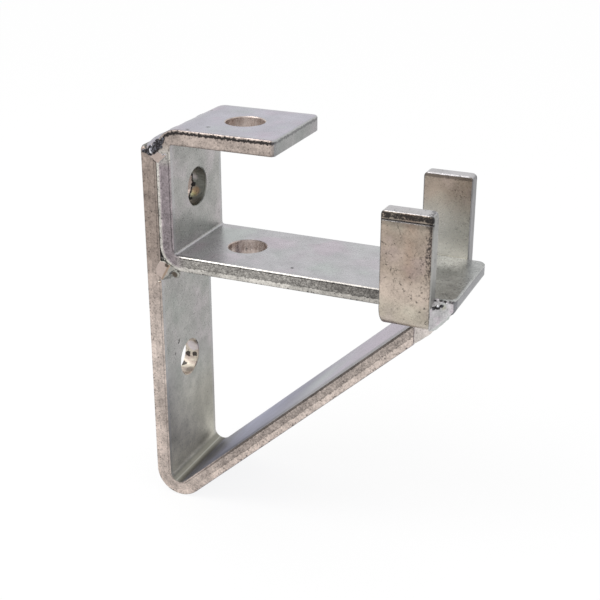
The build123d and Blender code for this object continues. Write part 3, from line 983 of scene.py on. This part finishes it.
def swept_bead(shape, points, weld, low_y, high_y, droop=0.0):
    """Closed bead across the bars: its face bulges from points 0 to 1, with ripples.

    The near end rounds off over BEAD_END millimetres and drops by droop.
    """
    start, end = Vector(points[0]), Vector(points[1])
    run = end - start
    outward = Vector((-run.y, run.x)).normalized()
    crown = weld.crown / MM
    pitch = weld.ripple_pitch / MM
    rows = []
    for step in range(BEAD_ROWS + 1):
        y = low_y + (high_y - low_y) * (step / BEAD_ROWS)
        left = max(0.0, 1 - (y - low_y) / BEAD_END)
        fall = droop * (1 - (1 - left * left) ** 0.5)
        sway = noise.noise(Vector((y * 0.35, start.x, 7.0)))
        swell = crown * (1 + 0.5 * sway)
        row = []
        for part in range(BEAD_FACE_STEPS + 1):
            u = part / BEAD_FACE_STEPS
            arch = 4 * u * (1 - u)
            lag = 1.6 * arch
            ripple = weld.ripple_height / MM * sin(2 * pi * (y + lag + 0.8 * sway) / pitch)
            flat = start + run * u + outward * (arch * swell + arch * ripple - fall)
            row.append(shape.verts.new((flat.x, y, flat.y)))
        row += [shape.verts.new((x, y, z)) for x, z in points[2:]]
        rows.append(row)
    for first, second in zip(rows, rows[1:]):
        for index in range(len(first)):
            after = (index + 1) % len(first)
            shape.faces.new((first[index], first[after], second[after], second[index]))
    shape.faces.new(list(reversed(rows[0])))
    shape.faces.new(rows[-1])


def blob(shape, centre, radii):
    """Closed ellipsoid."""
    ball = bmesh.ops.create_icosphere(shape, subdivisions=3, radius=1.0)
    where = Matrix.Translation(centre) @ Matrix.Diagonal((*radii, 1.0))
    bmesh.ops.transform(shape, matrix=where, verts=ball["verts"])


def capsule(shape, start, end, radii):
    """Row of ellipsoids from start to end, close enough to fuse into a bar."""
    steps = max(2, round((end - start).length / CAPSULE_STEP))
    for step in range(steps + 1):
        blob(shape, start.lerp(end, step / steps), radii)


def add_lumps(shape, table, flatness=1.0):
    """Blobs of a table's places and radii, thinned across the bars. Gives (centre, radius) pairs."""
    lumps = [(near_side(*place), radius) for *place, radius in table]
    for centre, radius in lumps:
        blob(shape, centre, (radius, radius * flatness, radius))
    return lumps


def nearness(place, marks):
    """1 at the middle of the nearest mark, falling to 0 outside it."""
    near = 0.0
    for centre, radius in marks:
        near = max(near, MARK_REACH - (place - centre).length / radius)
    return min(1.0, near)


def fuse(name, shape, weld, material, lumps=(), pores=()):
    """Fuse the shells into one skin, melt it, mark slag and pores and hang it on the frame."""
    bmesh.ops.recalc_face_normals(shape, faces=shape.faces)
    bmesh.ops.scale(shape, vec=(MM, MM, MM), verts=shape.verts)
    mesh = bpy.data.meshes.new(name)
    shape.to_mesh(mesh)
    shape.free()
    source = bpy.data.objects.new(name + "_shells", mesh)
    bpy.context.scene.collection.objects.link(source)
    remesh = source.modifiers.new("Fuse", "REMESH")
    remesh.mode = "VOXEL"
    remesh.voxel_size = weld.voxel
    melt = source.modifiers.new("Melt", "SMOOTH")
    melt.factor = 0.5
    melt.iterations = weld.smoothing
    bpy.context.view_layer.update()
    melted = source.evaluated_get(bpy.context.evaluated_depsgraph_get())
    fused = bpy.data.meshes.new_from_object(melted)
    bpy.data.objects.remove(source)
    if not fused.vertices:
        raise RuntimeError(f"{name} came out empty")
    fused.name = name
    slag = fused.attributes.new("slag", "FLOAT", "POINT")
    pore = fused.attributes.new("pore", "FLOAT", "POINT")
    normals = [vertex.normal.copy() for vertex in fused.vertices]
    for index, normal in enumerate(normals):
        vertex = fused.vertices[index]
        place = vertex.co / MM
        slag.data[index].value = nearness(place, lumps)
        pore.data[index].value = nearness(place, pores)
        wobble = noise.noise(place * 0.6) * BEAD_WOBBLE + noise.noise(place * 1.7) * BEAD_TREMBLE
        rough = SLAG_LUMPINESS * slag.data[index].value * noise.noise(place * 1.9)
        vertex.co += normal * (wobble + rough - PORE_DEPTH * pore.data[index].value) * MM
    fused.shade_smooth()
    fused.materials.clear()
    fused.materials.append(material)
    piece = bpy.data.objects.new(name, fused)
    bpy.context.scene.collection.objects.link(piece)
    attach(piece, "root")
    return piece


def weld_material():
    return bpy.data.materials["Zinc Weld"]


def dress(node, material):
    """Give a bar of the frame its finish."""
    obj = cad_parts[node]
    obj.data.materials.clear()
    obj.data.materials.append(material)


class BRACKET_OT_bars(bpy.types.Operator):
    """Zinc plate on the wall strap, the C strap and the cradle, and the welds' own plate"""

    bl_idname = "bracket.bars"
    bl_label = "Plate the Bars"

    def execute(self, context):
        zinc = context.scene.bracket_zinc
        for build in GROUP_BUILDERS:
            build()
        dress("wall_strap", wall_strap_coat(zinc))
        dress("c_strap", c_strap_coat(zinc))
        dress("cradle", cradle_coat(zinc))
        weld_coat(context.scene.bracket_weld, zinc)
        return {"FINISHED"}


class BRACKET_OT_top_weld(bpy.types.Operator):
    """Bead between the wall strap's top end and the C's upper bend"""

    bl_idname = "bracket.top_weld"
    bl_label = "Top Weld"

    def execute(self, context):
        weld = context.scene.bracket_weld
        shape = bmesh.new()
        bend_x = WEB_BACK + C_BEND_RADIUS
        bend_z = LUG_TOP - C_BEND_RADIUS
        reach = C_BEND_RADIUS * cos(pi / 4)
        root = (WEB_BACK + 1.0, STRAP_TOP - STRAP_BEVEL_DEPTH - 0.5)
        points = [(1.2, STRAP_TOP - 0.2), (bend_x - reach, bend_z + reach), (bend_x - 4, bend_z), root]
        swept_bead(shape, points, weld, NEAR_SIDE + 0.3, BAR_HALF_WIDTH - 0.5, 2.4)
        back, foot, front = (near_side(x, 0.0, z) for x, z in ((3.8, 52.9), (7.2, 50.4), (10.2, 53.1)))
        capsule(shape, back, foot, (0.7, 0.5, 0.6))
        capsule(shape, foot, front, (0.6, 0.45, 0.6))
        blob(shape, near_side(7.2, 0.1, 52.4), (2.4, 0.4, 1.6))
        lumps = add_lumps(shape, TOP_SLAG)
        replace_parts(fuse("top_weld_bead", shape, weld, weld_material(), lumps), "top_weld")
        return {"FINISHED"}


class BRACKET_OT_heel_weld(bpy.types.Operator):
    """Bead between the C's lower bend and the wall strap's front face"""

    bl_idname = "bracket.heel_weld"
    bl_label = "Heel Weld"

    def execute(self, context):
        weld = context.scene.bracket_weld
        shape = bmesh.new()
        low, high = (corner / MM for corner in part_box("heel_weld"))
        root = (WEB_BACK - 1.0, high.z)
        points = [(high.x, ARM_UNDER + 0.3), (WEB_BACK - 0.4, low.z), root, (WEB_BACK + 3.0, high.z)]
        swept_bead(shape, points, weld, NEAR_SIDE + 2.0, BAR_HALF_WIDTH - 0.4)
        hull(shape, [near_side(*corner) for corner in HEEL_END])
        blob(shape, near_side(5.4, -0.1, 3.9), (0.9, 0.45, 0.6))
        blob(shape, near_side(11.3, 2.4, 7.0), (1.9, 1.4, 1.7))
        pores = [(near_side(*place), radius) for *place, radius in HEEL_PORES]
        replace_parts(fuse("heel_weld_bead", shape, weld, weld_material(), pores=pores), "heel_weld")
        return {"FINISHED"}


class BRACKET_OT_end_welds(bpy.types.Operator):
    """Beads at the arm's tip: brace to cradle, and cradle to arm"""

    bl_idname = "bracket.end_welds"
    bl_label = "End Welds"

    def execute(self, context):
        weld = context.scene.bracket_weld
        low, high = (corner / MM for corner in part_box("brace_weld"))
        shape = bmesh.new()
        points = [(high.x, CRADLE_LOW.z), (low.x, low.z), (low.x + 0.6, CRADLE_LOW.z + 1.0),
                  (high.x, CRADLE_LOW.z + 2.0)]
        swept_bead(shape, points, weld, NEAR_SIDE + 0.4, BAR_HALF_WIDTH - 0.4)
        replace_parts(fuse("brace_weld_bead", shape, weld, weld_material()), "brace_weld")

        tip_low, tip_high = (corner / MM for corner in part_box("tip_weld"))
        shape = bmesh.new()
        points = [(tip_high.x + 0.8, tip_high.z + 0.6), (tip_low.x, tip_low.z - 0.6),
                  (tip_low.x - 1.0, tip_low.z + 1.0), (tip_low.x - 1.0, tip_high.z + 1.0)]
        swept_bead(shape, points, weld, NEAR_SIDE + 0.2, BAR_HALF_WIDTH - 0.4)
        hull(shape, [near_side(*corner) for corner in TIP_END])
        for step in range(TIP_SWELLINGS):
            y = NEAR_SIDE + 2 + step * TIP_SWELLING_SPACING
            size = 1.3 + 0.5 * noise.noise(Vector((y * 0.9, 3.0, 1.0)))
            blob(shape, (115.7, y, 7.8), (size, size * 2.0, size))
        for x, size in ((113.1, 0.9), (115.2, 0.5), (116.7, 0.6), (118.0, 0.5)):
            blob(shape, near_side(x, -0.3, 14.3), (size, size, size * 0.9))
        lumps = add_lumps(shape, TIP_SLAG, 0.8)
        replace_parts(fuse("tip_weld_bead", shape, weld, weld_material(), lumps), "tip_weld")
        return {"FINISHED"}


def seen_rays(graph):
    """1 for what the camera sees, straight or in the shiny plate, and 0 for the light it gives."""
    rays = graph.tree.nodes.new("ShaderNodeLightPath").outputs
    seen = graph.math("MAXIMUM", rays["Is Camera Ray"], rays["Is Glossy Ray"])
    return graph.math("MAXIMUM", seen, rays["Is Transmission Ray"])


def floor_material(studio):
    """Pale floor that looks white to the camera and in reflections, and keeps the shadow."""
    material = bpy.data.materials.new("Studio Floor")
    material.use_nodes = True
    graph = Graph(material.node_tree)
    graph.tree.nodes.remove(graph.tree.nodes["Principled BSDF"])
    paint = graph.node("ShaderNodeBsdfDiffuse", {"Color": opaque(studio.floor_colour)})
    glow = graph.node("ShaderNodeEmission", {"Color": WHITE, "Strength": 1.0})
    share = graph.times(seen_rays(graph), FLOOR_GLOW)
    mixed = graph.node("ShaderNodeMixShader", {0: share, 1: paint, 2: glow})
    graph.feed(graph.tree.nodes["Material Output"].inputs["Surface"], mixed)
    return material


def add_lamp(power):
    """Square soft lamp above that points at the bracket's middle."""
    light = bpy.data.lights.new("lamp_top", "AREA")
    light.shape = "RECTANGLE"
    light.size = light.size_y = LAMP_SIZE
    light.energy = power
    lamp = bpy.data.objects.new("lamp_top", light)
    middle = (Vector(cad_box[0]) + Vector(cad_box[1])) / 2
    towards = Vector(LAMP_DIRECTION).normalized()
    lamp.location = middle + towards * LAMP_DISTANCE
    lamp.rotation_euler = towards.to_track_quat("Z", "Y").to_euler()
    lamp.visible_camera = False
    bpy.context.scene.collection.objects.link(lamp)


class BRACKET_OT_studio(bpy.types.Operator):
    """Pale floor, white surroundings, a soft lamp and the camera"""

    bl_idname = "bracket.studio"
    bl_label = "Studio"

    def execute(self, context):
        scene = context.scene
        studio = scene.bracket_studio
        half = studio.floor_size / 2
        height = cad_box[0][2]
        corners = [(-half, -half, height), (half, -half, height), (half, half, height),
                   (-half, half, height)]
        mesh = bpy.data.meshes.new("studio_floor")
        mesh.from_pydata(corners, [], [(0, 1, 2, 3)])
        mesh.materials.append(floor_material(studio))
        floor = bpy.data.objects.new("studio_floor", mesh)
        scene.collection.objects.link(floor)

        world = bpy.data.worlds.new("Studio Surroundings")
        world.use_nodes = True
        graph = Graph(world.node_tree)
        background = graph.tree.nodes["Background"]
        background.inputs["Color"].default_value = WHITE
        graph.feed(background.inputs["Strength"], graph.blend(seen_rays(graph), studio.sky, 1.0))
        scene.world = world

        add_lamp(studio.top_power)

        camera = bpy.data.cameras.new("camera")
        camera.lens = studio.lens
        camera.sensor_width = 36.0
        holder = bpy.data.objects.new("camera", camera)
        holder.location = [value * MM for value in CAMERA_PLACE]
        holder.rotation_euler = (radians(90 - CAMERA_DOWN), 0, radians(CAMERA_TURN))
        scene.collection.objects.link(holder)
        scene.camera = holder
        scene.view_settings.view_transform = "Standard"
        return {"FINISHED"}


class BRACKET_PT_panel(bpy.types.Panel):
    """Buttons and settings of the bracket"""

    bl_label = "Welded Wall Bracket"
    bl_idname = "BRACKET_PT_panel"
    bl_space_type = "VIEW_3D"
    bl_region_type = "UI"
    bl_category = "Bracket"

    def draw(self, context):
        for operator in OPERATORS:
            self.layout.operator(operator.bl_idname)
        for name in SETTINGS:
            settings = getattr(context.scene, name)
            box = self.layout.box()
            for field in settings.__annotations__:
                box.prop(settings, field)


SETTINGS = {
    "bracket_zinc": ZincSettings,
    "bracket_weld": WeldSettings,
    "bracket_studio": StudioSettings,
}
OPERATORS = (
    BRACKET_OT_bars,
    BRACKET_OT_top_weld,
    BRACKET_OT_heel_weld,
    BRACKET_OT_end_welds,
    BRACKET_OT_studio,
)
CLASSES = (*SETTINGS.values(), *OPERATORS, BRACKET_PT_panel)


def register():
    for cls in CLASSES:
        bpy.utils.register_class(cls)
    for name, settings in SETTINGS.items():
        setattr(bpy.types.Scene, name, PointerProperty(type=settings))


def unregister():
    for name in SETTINGS:
        delattr(bpy.types.Scene, name)
    for cls in reversed(CLASSES):
        bpy.utils.unregister_class(cls)


def main():
    register()
    bpy.ops.bracket.bars()
    bpy.ops.bracket.top_weld()
    bpy.ops.bracket.heel_weld()
    bpy.ops.bracket.end_welds()
    bpy.ops.bracket.studio()


if __name__ == "__main__":
    main()
